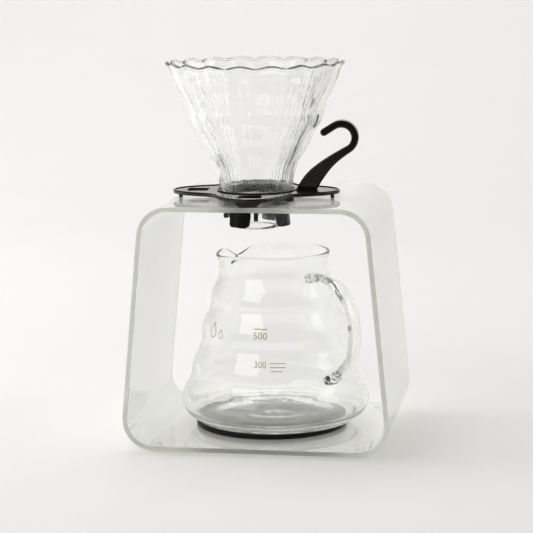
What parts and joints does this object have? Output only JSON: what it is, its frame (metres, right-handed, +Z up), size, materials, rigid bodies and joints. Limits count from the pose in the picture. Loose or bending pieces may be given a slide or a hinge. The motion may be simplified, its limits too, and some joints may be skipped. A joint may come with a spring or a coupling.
{
  "type": "pour over dripper",
  "caption": "Pour-over coffee set: fluted glass cone on a lobed black holder with a hook handle, over a tiered glass server in a clear bent acrylic stand.",
  "frame": {"origin": "on the surface the stand's bumpers rest on, under the middle of the whole set's outer box", "axes": "+Z up; +Y from the stand's open front to its open back; +X to the right, towards the hook handle"},
  "size_m": [0.1704, 0.1413, 0.2448],
  "materials": {
    "clear_acrylic": "clear polished sheet with a faint grey-green edge",
    "clear_silicone_bumper": "clear soft bumper",
    "black_silicone": "matt black silicone",
    "borosilicate_glass": "clear blown glass, fire-polished rim",
    "black_gloss_plastic": "moulded gloss black",
    "black_rubber": "soft black rubber pegs",
    "gold_print": "thin tan-gold fired print"
  },
  "bodies": {
    "stand": {"stand_loop": "clear_acrylic", "bumper_foot_front_left": "clear_silicone_bumper", "bumper_foot_front_right": "clear_silicone_bumper", "bumper_foot_back_left": "clear_silicone_bumper", "bumper_foot_back_right": "clear_silicone_bumper"},
    "coaster": {"silicone_coaster": "black_silicone"},
    "server": {"server_glass": "borosilicate_glass", "server_handle": "borosilicate_glass"},
    "holder": {"base_plate": "black_gloss_plastic", "hook_handle": "black_gloss_plastic", "foot_pad_left": "black_rubber", "foot_pad_right": "black_rubber"},
    "cone": {"cone_glass": "borosilicate_glass", "seal_ring": "black_silicone"},
    "ring": {"retaining_ring": "black_gloss_plastic"}
  },
  "joints": [
    {"name": "server_slide", "type": "slide", "parent": "stand", "child": "server", "axis": [0, -1, 0], "range_m": [0, 0.16]},
    {"name": "coaster_slide", "type": "slide", "parent": "stand", "child": "coaster", "axis": [0, -1, 0], "range_m": [0, 0.14]},
    {"name": "dripper_lift", "type": "slide", "parent": "stand", "child": "holder", "axis": [0, 0, 1], "range_m": [0, 0.06]},
    {"name": "cone_lift", "type": "slide", "parent": "holder", "child": "cone", "axis": [0, 0, 1], "range_m": [0, 0.07]},
    {"name": "ring_turn", "type": "hinge", "parent": "holder", "child": "ring", "pos_m": [-0.0062, -0.01295, 0.158], "axis": [0, 0, 1], "range_deg": [0, 30]}
  ]
}
